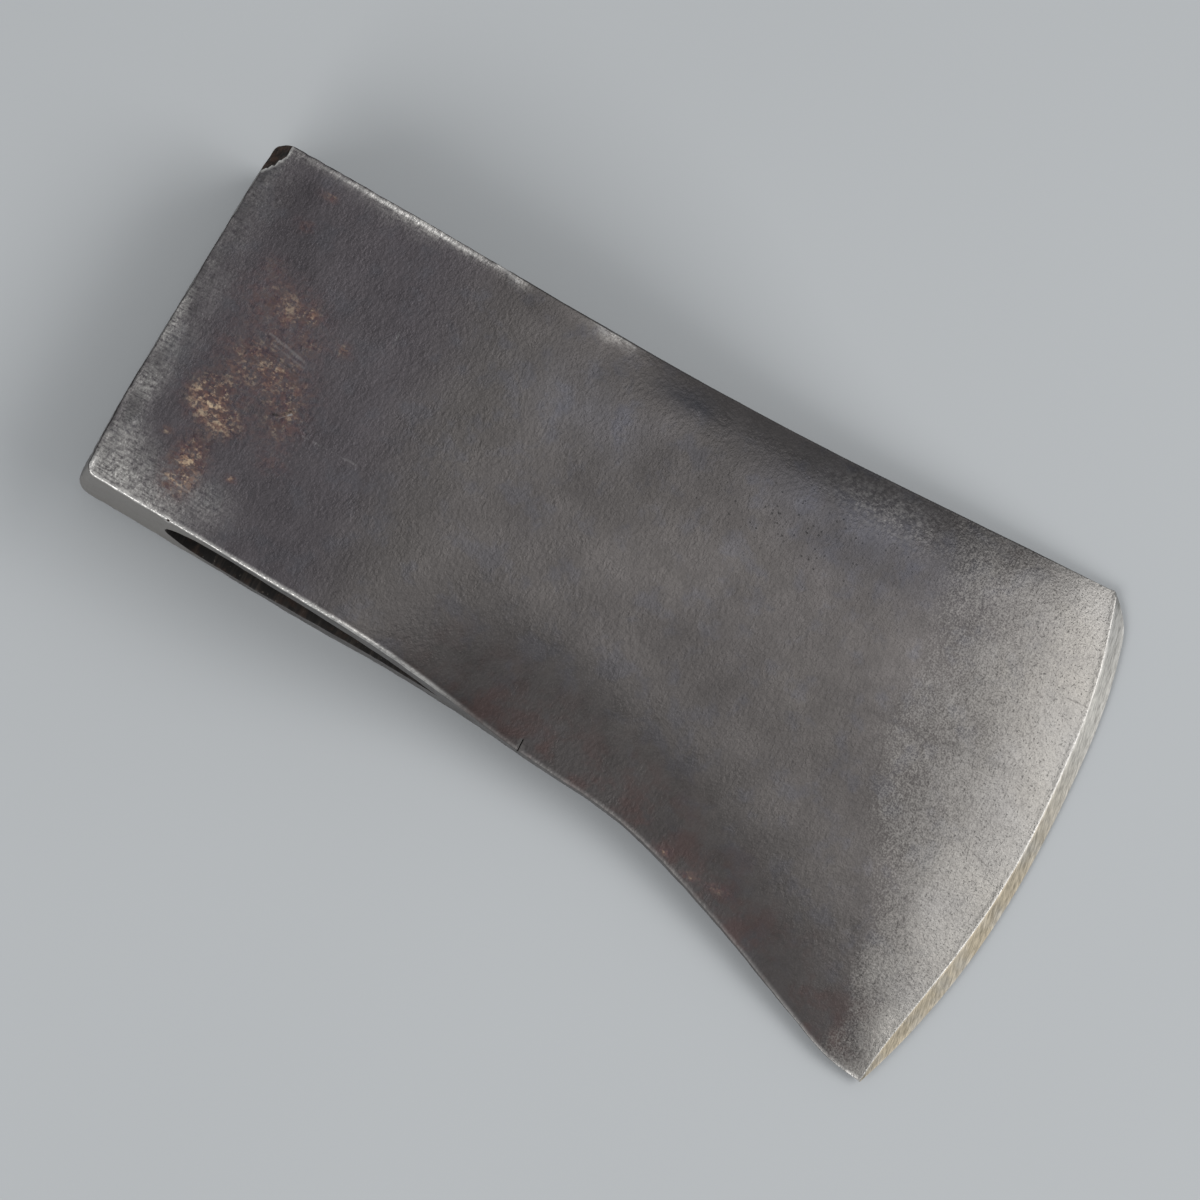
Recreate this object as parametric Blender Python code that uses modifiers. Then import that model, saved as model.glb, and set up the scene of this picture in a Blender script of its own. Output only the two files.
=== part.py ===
"""A forged steel felling axe head without its handle, lying on one cheek.

Metres, +Z up, floor at Z = 0. +X runs along the head from the poll to the bit, and +Y towards its top
edge. The head is first made in its own frame: x from the poll, y up the height, z through the thickness,
with z = 0 on the plane that the two cheeks mirror each other in. It is then laid on the tapered cheek.
"""

import math

import bmesh
import bpy
from mathutils import Matrix, Vector

# Overall sizes
HEAD_LENGTH = 0.200
POLL_HEIGHT = 0.0738
POLL_LEAN = math.radians(3.9)
POLL_CORNER_RADIUS = 0.0022
ARRIS_RADIUS = 0.0005

# How far the two ends of the flat poll face are hammered back, and over what length
POLL_TOP_WEAR = 0.0004
POLL_TOP_WEAR_LENGTH = 0.010
POLL_UNDER_WEAR = 0.0009
POLL_UNDER_WEAR_LENGTH = 0.021

# Bit: its corners' heights from the middle of the poll, and how far each is set back from the foremost point
TOE_HEIGHT = 0.0363
HEEL_DEPTH = 0.0725
BIT_NOSE_DEPTH = 0.0010
TOE_SETBACK = 0.0056
TOE_BEND = 2.4
HEEL_SETBACK = 0.0128
HEEL_BEND = 2.4
TOE_CORNER_RADIUS = 0.0032
BEVEL_WIDTH = 0.0033
BEVEL_CORNER_WIDTH = 0.0005
BEVEL_FADE = 6
BEVEL_ANGLE = math.radians(20)

# Eye, measured where the handle enters it, under the head
EYE_FROM_POLL = 0.0200
EYE_LENGTH = 0.0605
EYE_WIDTH = 0.0190
EYE_WALL = 0.0045
EYE_ROUND_LENGTH = 0.011
EYE_FLARE = 0.002
EYE_CUT_PAST = 0.008
EYE_END = EYE_FROM_POLL + EYE_LENGTH

# Top edge: how far it dips, and its curve as (share of the run, share of the dip)
TOP_DIP = 0.0025
TOP_CURVE = ((0.15, 0.42), (0.35, 1.0), (0.60, 0.90), (0.84, 0.36))
TOP_CURVE_START_SLOPE = 2.5
TOP_CURVE_END_SLOPE = -2.0

# Under edge: flat beside the eye, then a curve to the heel as (share of the run, share of the fall)
UNDER_FLAT_LENGTH = EYE_END - 0.0185
UNDER_CURVE = ((0.144, 0.058), (0.312, 0.154), (0.496, 0.258), (0.679, 0.516), (0.863, 0.838), (0.935, 0.955))
UNDER_CURVE_END_SLOPE = 0.4

# Cheeks: parallel from the poll to the knee, then tapering evenly to the bevel
KNEE_FROM_POLL = EYE_END - 0.0245
KNEE_EASE = 0.010

# Rolled margins of the blade, whose edges keep this share of the thickness beside them
UNDER_ROLL_START = EYE_END - 0.0275
UNDER_ROLL_END = EYE_END + 0.0215
UNDER_ROLL_WIDTH = 0.026
UNDER_EDGE_SHARE = 0.20
TOP_ROLL_START = EYE_END - 0.0205
TOP_ROLL_END = EYE_END + 0.0595
TOP_ROLL_WIDTH = 0.014
TOP_EDGE_SHARE = 0.35

# Flake lost from the upper cheek at the top corner of the poll
CHIP_RADII = (0.0058, 0.0088, 0.0050)
CHIP_BEHIND_CORNER = 0.0016
CHIP_ABOVE_CORNER = 0.0008
CHIP_ABOVE_CHEEK = 0.0008

# Fineness of the mesh
BLADE_STATIONS = 40
CORNER_STATIONS = 4
COLUMNS = 26
EYE_POINTS = 36
MEETING_STEPS = 30

HALF_THICKNESS = EYE_WIDTH / 2 + EYE_WALL
HALF_HEIGHT = POLL_HEIGHT / 2
LEAN_SLOPE = math.tan(POLL_LEAN)
POLL_TOP_X = POLL_HEIGHT * math.sin(POLL_LEAN)
POLL_TOP_Y = POLL_HEIGHT * math.cos(POLL_LEAN) - HALF_HEIGHT
TOE_X = HEAD_LENGTH - TOE_SETBACK - TOE_CORNER_RADIUS
HEEL_X = HEAD_LENGTH - HEEL_SETBACK
BEVEL_HALF_THICKNESS = BEVEL_WIDTH * math.tan(BEVEL_ANGLE)
STEEL_COLOUR = (0.13, 0.12, 0.115, 1)


def clear_scene():
    for old in list(bpy.data.objects):
        bpy.data.objects.remove(old, do_unlink=True)


def new_collection(name):
    collection = bpy.data.collections.new(name)
    bpy.context.scene.collection.children.link(collection)
    return collection


def steel():
    material = bpy.data.materials.new("forged_steel")
    material.use_nodes = True
    shader = material.node_tree.nodes["Principled BSDF"]
    shader.inputs["Base Color"].default_value = STEEL_COLOUR
    shader.inputs["Roughness"].default_value = 0.5
    shader.inputs["Metallic"].default_value = 0.9
    return material


def object_from(shape, name, collection, smooth=False):
    """The bmesh as a named object. The bmesh is freed."""
    mesh = bpy.data.meshes.new(name)
    shape.to_mesh(mesh)
    shape.free()
    if smooth:
        mesh.shade_smooth()
        mesh.set_sharp_from_angle(angle=math.radians(30))
    made = bpy.data.objects.new(name, mesh)
    collection.objects.link(made)
    return made


def eased(share):
    """0 to 1 with no kink at either end."""
    share = min(max(share, 0), 1)
    return share * share * (3 - 2 * share)


def smooth_curve(points, first_slope, last_slope):
    """A function y(x) that runs smoothly through the points, with these slopes at its ends."""
    slopes = [first_slope]
    for before, after in zip(points, points[2:]):
        slopes.append((after[1] - before[1]) / (after[0] - before[0]))
    slopes.append(last_slope)

    def height(x):
        k = 0
        while k < len(points) - 2 and x > points[k + 1][0]:
            k += 1
        (x0, y0), (x1, y1) = points[k], points[k + 1]
        run = x1 - x0
        t = min(max((x - x0) / run, 0), 1)
        start = y0 * (1 + 2 * t) + run * slopes[k] * t
        end = y1 * (3 - 2 * t) - run * slopes[k + 1] * (1 - t)
        return start * (1 - t) ** 2 + end * t**2

    return height


def under_heel_curve():
    """The under edge from the end of the flat by the eye down to the heel."""
    flat_end = (UNDER_FLAT_LENGTH, -HALF_HEIGHT - UNDER_FLAT_LENGTH * LEAN_SLOPE)
    run = HEEL_X - flat_end[0]
    fall = -HEEL_DEPTH - flat_end[1]
    shares = ((0, 0), *UNDER_CURVE, (1, 1))
    points = [(flat_end[0] + run * along, flat_end[1] + fall * down) for along, down in shares]
    return smooth_curve(points, -LEAN_SLOPE, UNDER_CURVE_END_SLOPE * fall / run)


heel_curve = under_heel_curve()
dip_curve = smooth_curve(((0, 0), *TOP_CURVE, (1, 0)), TOP_CURVE_START_SLOPE, TOP_CURVE_END_SLOPE)


def under_edge(x):
    if x <= UNDER_FLAT_LENGTH:
        return -HALF_HEIGHT - x * LEAN_SLOPE
    return heel_curve(x)


def top_edge(x):
    share = (x - POLL_TOP_X) / (TOE_X - POLL_TOP_X)
    chord = POLL_TOP_Y + (TOE_HEIGHT - POLL_TOP_Y) * share
    return chord - TOP_DIP * dip_curve(share)


def poll_line(y):
    """How far back the poll face is at this height: flat, and worn back at its two ends."""
    near_top = max(y - POLL_TOP_Y + POLL_TOP_WEAR_LENGTH, 0) / POLL_TOP_WEAR_LENGTH
    near_under = max(-HALF_HEIGHT + POLL_UNDER_WEAR_LENGTH - y, 0) / POLL_UNDER_WEAR_LENGTH
    worn = POLL_TOP_WEAR * near_top**2 + POLL_UNDER_WEAR * near_under**2
    return (y + HALF_HEIGHT) * LEAN_SLOPE + worn


def bit_sweep(y):
    """How far forward the cutting edge is at this height, before its toe corner is rounded."""
    above = y + BIT_NOSE_DEPTH
    if above < 0:
        return HEAD_LENGTH - HEEL_SETBACK * (-above / (HEEL_DEPTH - BIT_NOSE_DEPTH)) ** HEEL_BEND
    return HEAD_LENGTH - TOE_SETBACK * (above / (TOE_HEIGHT + BIT_NOSE_DEPTH)) ** TOE_BEND


def bit_edge(y):
    """How far forward the cutting edge is at this height, with its toe corner rounded."""
    into_corner = min(max(y - TOE_HEIGHT + TOE_CORNER_RADIUS, 0), TOE_CORNER_RADIUS)
    corner = TOE_CORNER_RADIUS - math.sqrt(TOE_CORNER_RADIUS**2 - into_corner**2)
    return bit_sweep(y) - corner


def bevel_shoulder(y):
    """Where the cheek ends and the ground bevel begins. The bevel fades out at the heel and not at the toe."""
    middle = (TOE_HEIGHT - HEEL_DEPTH) / 2
    below_middle = max(middle - y, 0) / ((TOE_HEIGHT + HEEL_DEPTH) / 2)
    width = BEVEL_WIDTH * (1 - min(below_middle, 1) ** BEVEL_FADE)
    return min(bit_sweep(y) - width, bit_edge(y) - BEVEL_CORNER_WIDTH)


def taper_half(x, shoulder_x):
    """Half the thickness in the middle of the height, on a column that ends at shoulder_x."""
    slope = (HALF_THICKNESS - BEVEL_HALF_THICKNESS) / (shoulder_x - KNEE_FROM_POLL)
    run = x - KNEE_FROM_POLL
    if run < -KNEE_EASE:
        run = 0
    elif run < KNEE_EASE:
        run = (run + KNEE_EASE) ** 2 / (4 * KNEE_EASE)
    return HALF_THICKNESS - slope * run


def edge_loss(x, start, end, share):
    """The share of the thickness that an edge has lost to its rolled margin."""
    return (1 - share) * eased((x - start) / (end - start))


def under_loss(x):
    return edge_loss(x, UNDER_ROLL_START, UNDER_ROLL_END, UNDER_EDGE_SHARE)


def top_loss(x):
    return edge_loss(x, TOP_ROLL_START, TOP_ROLL_END, TOP_EDGE_SHARE)


def half_thickness(x, y, shoulder_x):
    under_roll = max(1 - (y - under_edge(x)) / UNDER_ROLL_WIDTH, 0) ** 2
    top_roll = max(1 - (top_edge(x) - y) / TOP_ROLL_WIDTH, 0) ** 2
    kept = 1 - under_loss(x) * under_roll - top_loss(x) * top_roll
    return taper_half(x, shoulder_x) * kept


def arris_radius(half):
    return min(ARRIS_RADIUS, half / 2)


def column_height(x, v, inset=0):
    """The y of column v, counted from 0 at the under edge to 1 at the top edge."""
    low = under_edge(x) + inset
    high = top_edge(x) - inset
    return low + (high - low) * v


def on_line(line, v, inset=0):
    """The x where column v meets a line x = line(y)."""
    x = line(0)
    for _ in range(MEETING_STEPS):
        x = line(column_height(x, v, inset))
    return x


def poll_corners_rounded(x, y):
    """The point moved so that the two square corners of the poll become arcs."""
    backward = Vector((-math.cos(POLL_LEAN), math.sin(POLL_LEAN)))
    upward = Vector((math.sin(POLL_LEAN), math.cos(POLL_LEAN)))
    point = Vector((x, y))
    for v, outward in ((0, -upward), (1, upward)):
        corner_x = on_line(poll_line, v)
        centre = Vector((corner_x, column_height(corner_x, v))) - POLL_CORNER_RADIUS * (backward + outward)
        offset = point - centre
        a = offset.dot(backward)
        b = offset.dot(outward)
        if a > 0 and b > 0:
            point = centre + offset * max(a, b) / offset.length
    return point.x, point.y


def station_shares():
    """Stations along the head, closer together round the corners of the poll."""
    corner_share = 1.2 * POLL_CORNER_RADIUS / HEAD_LENGTH
    quarter = math.pi / 2 / CORNER_STATIONS
    near = [corner_share * (1 - math.cos(quarter * k)) for k in range(CORNER_STATIONS)]
    rest = [corner_share + (1 - corner_share) * k / BLADE_STATIONS for k in range(BLADE_STATIONS + 1)]
    return near + rest


def column_shares():
    """Columns across the head, closer together by its two edges."""
    return [(1 - math.cos(math.pi * k / COLUMNS)) / 2 for k in range(COLUMNS + 1)]


def plan_point(u, v, inset):
    """The x and y at share u of the way from poll to bevel, with the cheek drawn in from its outline."""
    back = on_line(poll_line, v, inset) + inset
    front = on_line(bevel_shoulder, v)
    x = back + (front - back) * u
    return poll_corners_rounded(x, column_height(x, v, inset)), front


def cheek_point(u, v, inset):
    (x, y), front = plan_point(u, v, inset)
    return Vector((x, y, half_thickness(x, y, front)))


def rim_of(u, v):
    """The rounded arris and the wall below one point of the cheek's border, down to the middle plane."""
    outline = plan_point(u, v, 0)[0]
    half = cheek_point(u, v, 0).z
    radius = arris_radius(half)
    on_cheek = cheek_point(u, v, radius)
    turn = cheek_point(u, v, radius * (1 - math.sqrt(0.5)))
    turn.z = on_cheek.z - radius * (1 - math.sqrt(0.5))
    wall_top = Vector((*outline, on_cheek.z - radius))
    foot = Vector((*outline, 0))
    return [on_cheek, turn, wall_top, foot]


def half_head():
    """One cheek with its walls and bevel, open on the middle plane."""
    us = station_shares()
    vs = column_shares()
    last_u = len(us) - 1
    last_v = len(vs) - 1
    border = [(i, 0) for i in range(last_u, -1, -1)]
    border += [(0, j) for j in range(1, last_v + 1)]
    border += [(i, last_v) for i in range(1, last_u + 1)]

    shape = bmesh.new()
    rims = [[shape.verts.new(point) for point in rim_of(us[i], vs[j])] for i, j in border]
    cheek = {at: rim[0] for at, rim in zip(border, rims)}
    for i in range(1, last_u + 1):
        for j in range(1, last_v):
            cheek[i, j] = shape.verts.new(cheek_point(us[i], vs[j], ARRIS_RADIUS))
    for i in range(last_u):
        for j in range(last_v):
            shape.faces.new((cheek[i, j], cheek[i + 1, j], cheek[i + 1, j + 1], cheek[i, j + 1]))
    for rim, after in zip(rims, rims[1:]):
        for k in range(len(rim) - 1):
            shape.faces.new((rim[k], after[k], after[k + 1], rim[k + 1]))

    edge_xs = [on_line(bit_edge, v) for v in vs]
    edge = [shape.verts.new((x, column_height(x, v), 0)) for x, v in zip(edge_xs, vs)]
    for j in range(last_v):
        shape.faces.new((cheek[last_u, j], edge[j], edge[j + 1], cheek[last_u, j + 1]))
    for rim, tip in ((rims[0], edge[0]), (rims[-1], edge[-1])):
        for k in range(len(rim) - 1):
            shape.faces.new((rim[k], rim[k + 1], tip))
    bmesh.ops.recalc_face_normals(shape, faces=shape.faces)
    return shape


def eye_ring(grow):
    """The eye's outline as (along, across), blunt towards the poll and drawn to a point towards the bit."""
    length = EYE_LENGTH + grow
    half = (EYE_WIDTH + grow) / 2
    taper = length - EYE_ROUND_LENGTH
    side = []
    for k in range(EYE_POINTS // 2 + 1):
        along = length * (1 - math.cos(2 * math.pi * k / EYE_POINTS)) / 2
        if along < EYE_ROUND_LENGTH:
            across = half * math.sqrt(1 - (1 - along / EYE_ROUND_LENGTH) ** 2)
        else:
            across = half * (1 - ((along - EYE_ROUND_LENGTH) / taper) ** 2)
        side.append((along - grow / 2, across))
    return side + [(along, -across) for along, across in reversed(side[1:-1])]


def eye_cutter(collection):
    """The tapered space that the handle fills, along the lean of the poll."""
    along_under = Vector((math.cos(POLL_LEAN), -math.sin(POLL_LEAN), 0))
    up_poll = Vector((math.sin(POLL_LEAN), math.cos(POLL_LEAN), 0))
    corner = Vector((0, -HALF_HEIGHT, 0))
    shape = bmesh.new()
    rings = []
    for height in (-EYE_CUT_PAST, POLL_HEIGHT + EYE_CUT_PAST):
        ring = []
        for along, across in eye_ring(EYE_FLARE * height / POLL_HEIGHT):
            point = corner + along_under * (EYE_FROM_POLL + along) + up_poll * height
            ring.append(shape.verts.new((point.x, point.y, across)))
        rings.append(ring)
    count = len(rings[0])
    for k in range(count):
        after = (k + 1) % count
        shape.faces.new((rings[0][k], rings[0][after], rings[1][after], rings[1][k]))
    for ring in rings:
        shape.faces.new(ring)
    bmesh.ops.recalc_face_normals(shape, faces=shape.faces)
    return object_from(shape, "eye_cutter", collection)


def chip_cutter(collection):
    shape = bmesh.new()
    bmesh.ops.create_icosphere(shape, subdivisions=3, radius=1)
    size = Matrix.Diagonal((*CHIP_RADII, 1))
    x = POLL_TOP_X - CHIP_BEHIND_CORNER
    y = POLL_TOP_Y + CHIP_ABOVE_CORNER
    place = Matrix.Translation((x, y, HALF_THICKNESS + CHIP_ABOVE_CHEEK))
    bmesh.ops.transform(shape, matrix=place @ size, verts=shape.verts)
    return object_from(shape, "chip_cutter", collection)


def add_cut(target, cutter):
    cut = target.modifiers.new(cutter.name, "BOOLEAN")
    cut.operation = "DIFFERENCE"
    cut.solver = "EXACT"
    cut.object = cutter
    cutter.hide_render = True
    cutter.display_type = "WIRE"


def lie_angle():
    """How far the poll is raised when the tapered cheek lies flat."""
    foremost = max(on_line(bevel_shoulder, v) for v in column_shares())
    return math.atan((HALF_THICKNESS - BEVEL_HALF_THICKNESS) / (foremost - KNEE_FROM_POLL))


def centre_over_origin(head, frame):
    """Moves the frame so that the bottom of the head's box is centred on the origin."""
    bpy.context.view_layer.update()
    graph = bpy.context.evaluated_depsgraph_get()
    points = [head.matrix_world @ vertex.co for vertex in head.evaluated_get(graph).data.vertices]
    low = Vector(min(point[k] for point in points) for k in range(3))
    high = Vector(max(point[k] for point in points) for k in range(3))
    frame.location -= Vector(((low.x + high.x) / 2, (low.y + high.y) / 2, low.z))


def build():
    clear_scene()
    parts = new_collection("axe_head_parts")
    cutters = new_collection("cutters")
    frame = bpy.data.objects.new("lying_frame", None)
    parts.objects.link(frame)
    frame.rotation_euler = (0, lie_angle(), 0)

    head = object_from(half_head(), "axe_head", parts, smooth=True)
    head.data.materials.append(steel())
    mirror = head.modifiers.new("other_cheek", "MIRROR")
    mirror.use_axis = (False, False, True)
    mirror.merge_threshold = 0.00001
    for cutter in (eye_cutter(cutters), chip_cutter(cutters)):
        cutter.parent = frame
        add_cut(head, cutter)
    head.parent = frame
    centre_over_origin(head, frame)


build()
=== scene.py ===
"""The finished surface of a forged steel felling axe head that lies on one cheek, without its handle.

The head is modelled in its own frame, as its solid is: x from the poll, y up the height, z through the
thickness with z = 0 between the cheeks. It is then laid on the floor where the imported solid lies.
"""

import math

import bmesh
import bpy
import numpy as np
from mathutils import Matrix, Vector, kdtree, noise


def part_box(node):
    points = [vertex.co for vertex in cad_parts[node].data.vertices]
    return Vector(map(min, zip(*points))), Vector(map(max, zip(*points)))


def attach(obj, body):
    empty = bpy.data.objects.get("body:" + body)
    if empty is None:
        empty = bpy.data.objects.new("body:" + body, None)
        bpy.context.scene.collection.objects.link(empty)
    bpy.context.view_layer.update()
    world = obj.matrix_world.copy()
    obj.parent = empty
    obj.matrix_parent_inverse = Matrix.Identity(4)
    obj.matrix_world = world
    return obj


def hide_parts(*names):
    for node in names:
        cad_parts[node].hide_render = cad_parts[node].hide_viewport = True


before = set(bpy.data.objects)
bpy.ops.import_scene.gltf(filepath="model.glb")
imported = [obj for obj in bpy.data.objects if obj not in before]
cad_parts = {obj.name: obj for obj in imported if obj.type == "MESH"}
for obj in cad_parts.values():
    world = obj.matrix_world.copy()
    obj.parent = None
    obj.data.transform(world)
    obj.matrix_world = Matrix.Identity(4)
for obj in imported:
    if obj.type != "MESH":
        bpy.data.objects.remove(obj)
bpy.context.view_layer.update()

MM = 0.001

# Overall sizes
HEAD_LENGTH = 0.200
POLL_HEIGHT = 0.0738
POLL_LEAN = math.radians(3.9)
POLL_CORNER_RADIUS = 0.0022
ARRIS_RADIUS = 0.0005
POLL_TOP_WEAR = 0.0004
POLL_TOP_WEAR_LENGTH = 0.010
POLL_UNDER_WEAR = 0.0009
POLL_UNDER_WEAR_LENGTH = 0.021

# Bit
TOE_HEIGHT = 0.0363
HEEL_DEPTH = 0.0725
BIT_NOSE_DEPTH = 0.0010
TOE_SETBACK = 0.0056
TOE_BEND = 2.4
HEEL_SETBACK = 0.0128
HEEL_BEND = 2.4
TOE_CORNER_LENGTH = 0.0031
TOE_CORNER_HEIGHT = 0.0080
BEVEL_WIDTH = 0.0033
BEVEL_CORNER_WIDTH = 0.0002
BEVEL_FADE = 6
BEVEL_WAIST = 0.17
BEVEL_WAIST_HEIGHT = -0.019
BEVEL_WAIST_SPREAD = 0.024
BEVEL_TOE_LOSS = 0.20
BEVEL_TOE_HEIGHT = 0.011
BEVEL_ANGLE = math.radians(20)

# Eye
EYE_FROM_POLL = 0.0200
EYE_LENGTH = 0.0605
EYE_WIDTH = 0.0190
EYE_WALL = 0.0045
EYE_ROUND_LENGTH = 0.011
EYE_FLARE = 0.002
EYE_CUT_PAST = 0.004
EYE_RIM_RADIUS = 0.0004
EYE_ROUGHNESS = 0.00016
EYE_END = EYE_FROM_POLL + EYE_LENGTH

# Top edge and under edge
TOP_DIP = 0.0025
TOP_CURVE = ((0.15, 0.42), (0.35, 1.0), (0.60, 0.90), (0.84, 0.36))
TOP_CURVE_START_SLOPE = 2.5
TOP_CURVE_END_SLOPE = -2.0
UNDER_FLAT_LENGTH = EYE_END - 0.0185
UNDER_CURVE = ((0.144, 0.058), (0.312, 0.154), (0.496, 0.258), (0.679, 0.516), (0.863, 0.838), (0.935, 0.955))
UNDER_CURVE_END_SLOPE = 0.4

# Cheeks and their rolled margins
KNEE_FROM_POLL = EYE_END - 0.0245
KNEE_EASE = 0.010
UNDER_ROLL_START = EYE_END - 0.0275
UNDER_ROLL_END = EYE_END + 0.0215
UNDER_ROLL_WIDTH = 0.026
UNDER_EDGE_SHARE = 0.20
TOP_ROLL_START = EYE_END - 0.0205
TOP_ROLL_END = EYE_END + 0.0595
TOP_ROLL_WIDTH = 0.014
TOP_EDGE_SHARE = 0.35

# Flakes lost along the upper cheek's edges: at the poll's top corner, at the top edge and at the under edge
CHIP_RADII = (0.0053, 0.0086, 0.0048)
CHIP_BEHIND_CORNER = 0.0017
CHIP_ABOVE_CORNER = 0.0008
CHIP_ABOVE_CHEEK = 0.0008
TOP_FLAKE_X = 0.0545
TOP_FLAKE_PAST_EDGE = 0.0004
TOP_FLAKE_ABOVE_CHEEK = 0.00020
TOP_FLAKE_RADII = (0.0022, 0.0009, 0.0007)
UNDER_FLAKE_X = 0.0192
UNDER_FLAKE_PAST_EDGE = 0.0001
UNDER_FLAKE_ABOVE_CHEEK = 0.00005
UNDER_FLAKE_RADII = (0.0005, 0.0007, 0.0006)
FLAKES_END_X = 0.070
FLAKE_RIM_WIDTH = 0.00055

# Hairline crack at the under edge
CRACK_X = 0.0988
CRACK_Z = 0.010
CRACK_TURN = 0.06
CRACK_SIZE = (0.00022, 0.0050, 0.019)
CRACK_FACES = 6

# Fineness of the mesh
STATIONS = 270
COLUMNS = 124
EDGE_CROWDING = 0.62
ARC_STEPS = 3
WALL_STEPS = 6
BEVEL_STEPS = 6
EYE_POINTS = 96
EYE_RINGS = 44
EYE_RIM_STEPS = 4
FLAKE_STEPS = 5
MEETING_STEPS = 30
EYE_MEETING_STEPS = 3
JOIN_DISTANCE = 0.000001
SHARP_ANGLE = math.radians(32)
TINY = 1e-9

HALF_THICKNESS = EYE_WIDTH / 2 + EYE_WALL
HALF_HEIGHT = POLL_HEIGHT / 2
LEAN_SLOPE = math.tan(POLL_LEAN)
POLL_TOP_X = POLL_HEIGHT * math.sin(POLL_LEAN)
POLL_TOP_Y = POLL_HEIGHT * math.cos(POLL_LEAN) - HALF_HEIGHT
TOE_X = HEAD_LENGTH - TOE_SETBACK - TOE_CORNER_LENGTH
HEEL_X = HEAD_LENGTH - HEEL_SETBACK
BEVEL_HALF_THICKNESS = BEVEL_WIDTH * math.tan(BEVEL_ANGLE)

# The mesh's material slots, in order
STEEL, GROUND, EYE_WALLS, BROKEN = range(4)


def eased(share):
    """0 to 1 with no kink at either end."""
    share = np.clip(share, 0, 1)
    return share * share * (3 - 2 * share)


def smooth_curve(points, first_slope, last_slope):
    """A function y(x) that runs smoothly through the points, with these slopes at its ends."""
    xs, ys = np.array(points, float).T
    slopes = np.concatenate(([first_slope], (ys[2:] - ys[:-2]) / (xs[2:] - xs[:-2]), [last_slope]))

    def height(x):
        k = np.clip(np.searchsorted(xs, x) - 1, 0, len(xs) - 2)
        run = xs[k + 1] - xs[k]
        t = np.clip((x - xs[k]) / run, 0, 1)
        start = ys[k] * (1 + 2 * t) + run * slopes[k] * t
        end = ys[k + 1] * (3 - 2 * t) - run * slopes[k + 1] * (1 - t)
        return start * (1 - t) ** 2 + end * t**2

    return height


def under_heel_curve():
    """The under edge from the end of the flat by the eye down to the heel."""
    flat_end = (UNDER_FLAT_LENGTH, -HALF_HEIGHT - UNDER_FLAT_LENGTH * LEAN_SLOPE)
    run = HEEL_X - flat_end[0]
    fall = -HEEL_DEPTH - flat_end[1]
    shares = ((0, 0), *UNDER_CURVE, (1, 1))
    points = [(flat_end[0] + run * along, flat_end[1] + fall * down) for along, down in shares]
    return smooth_curve(points, -LEAN_SLOPE, UNDER_CURVE_END_SLOPE * fall / run)


heel_curve = under_heel_curve()
dip_curve = smooth_curve(((0, 0), *TOP_CURVE, (1, 0)), TOP_CURVE_START_SLOPE, TOP_CURVE_END_SLOPE)


def under_edge(x):
    return np.where(x <= UNDER_FLAT_LENGTH, -HALF_HEIGHT - x * LEAN_SLOPE, heel_curve(x))


def top_edge(x):
    share = (x - POLL_TOP_X) / (TOE_X - POLL_TOP_X)
    chord = POLL_TOP_Y + (TOE_HEIGHT - POLL_TOP_Y) * share
    return chord - TOP_DIP * dip_curve(share)


def poll_line(y):
    """How far back the poll face is at this height."""
    near_top = np.maximum(y - POLL_TOP_Y + POLL_TOP_WEAR_LENGTH, 0) / POLL_TOP_WEAR_LENGTH
    near_under = np.maximum(-HALF_HEIGHT + POLL_UNDER_WEAR_LENGTH - y, 0) / POLL_UNDER_WEAR_LENGTH
    worn = POLL_TOP_WEAR * near_top**2 + POLL_UNDER_WEAR * near_under**2
    return (y + HALF_HEIGHT) * LEAN_SLOPE + worn


def bit_sweep(y):
    """How far forward the cutting edge is at this height, before its toe corner is worn away."""
    above = y + BIT_NOSE_DEPTH
    down = np.maximum(-above, 0) / (HEEL_DEPTH - BIT_NOSE_DEPTH)
    up = np.maximum(above, 0) / (TOE_HEIGHT + BIT_NOSE_DEPTH)
    return HEAD_LENGTH - HEEL_SETBACK * down**HEEL_BEND - TOE_SETBACK * up**TOE_BEND


def bit_edge(y):
    """How far forward the cutting edge is at this height, with its toe corner worn away."""
    into_corner = np.clip(1 - (TOE_HEIGHT - y) / TOE_CORNER_HEIGHT, 0, 1)
    return bit_sweep(y) - TOE_CORNER_LENGTH * into_corner**2


def bevel_shoulder(y):
    """Where the cheek ends and the ground bevel begins.

    The bevel fades out at the heel and not at the toe, and is a little narrower at its waist and by the toe.
    """
    middle = (TOE_HEIGHT - HEEL_DEPTH) / 2
    below_middle = np.maximum(middle - y, 0) / ((TOE_HEIGHT + HEEL_DEPTH) / 2)
    width = BEVEL_WIDTH * (1 - np.minimum(below_middle, 1) ** BEVEL_FADE)
    width = width * (1 - BEVEL_WAIST * np.exp(-(((y - BEVEL_WAIST_HEIGHT) / BEVEL_WAIST_SPREAD) ** 2)))
    near_toe = np.clip(1 - (TOE_HEIGHT - y) / BEVEL_TOE_HEIGHT, 0, 1)
    width = width * (1 - BEVEL_TOE_LOSS * near_toe**2)
    return np.minimum(bit_sweep(y) - width, bit_edge(y) - BEVEL_CORNER_WIDTH)


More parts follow.
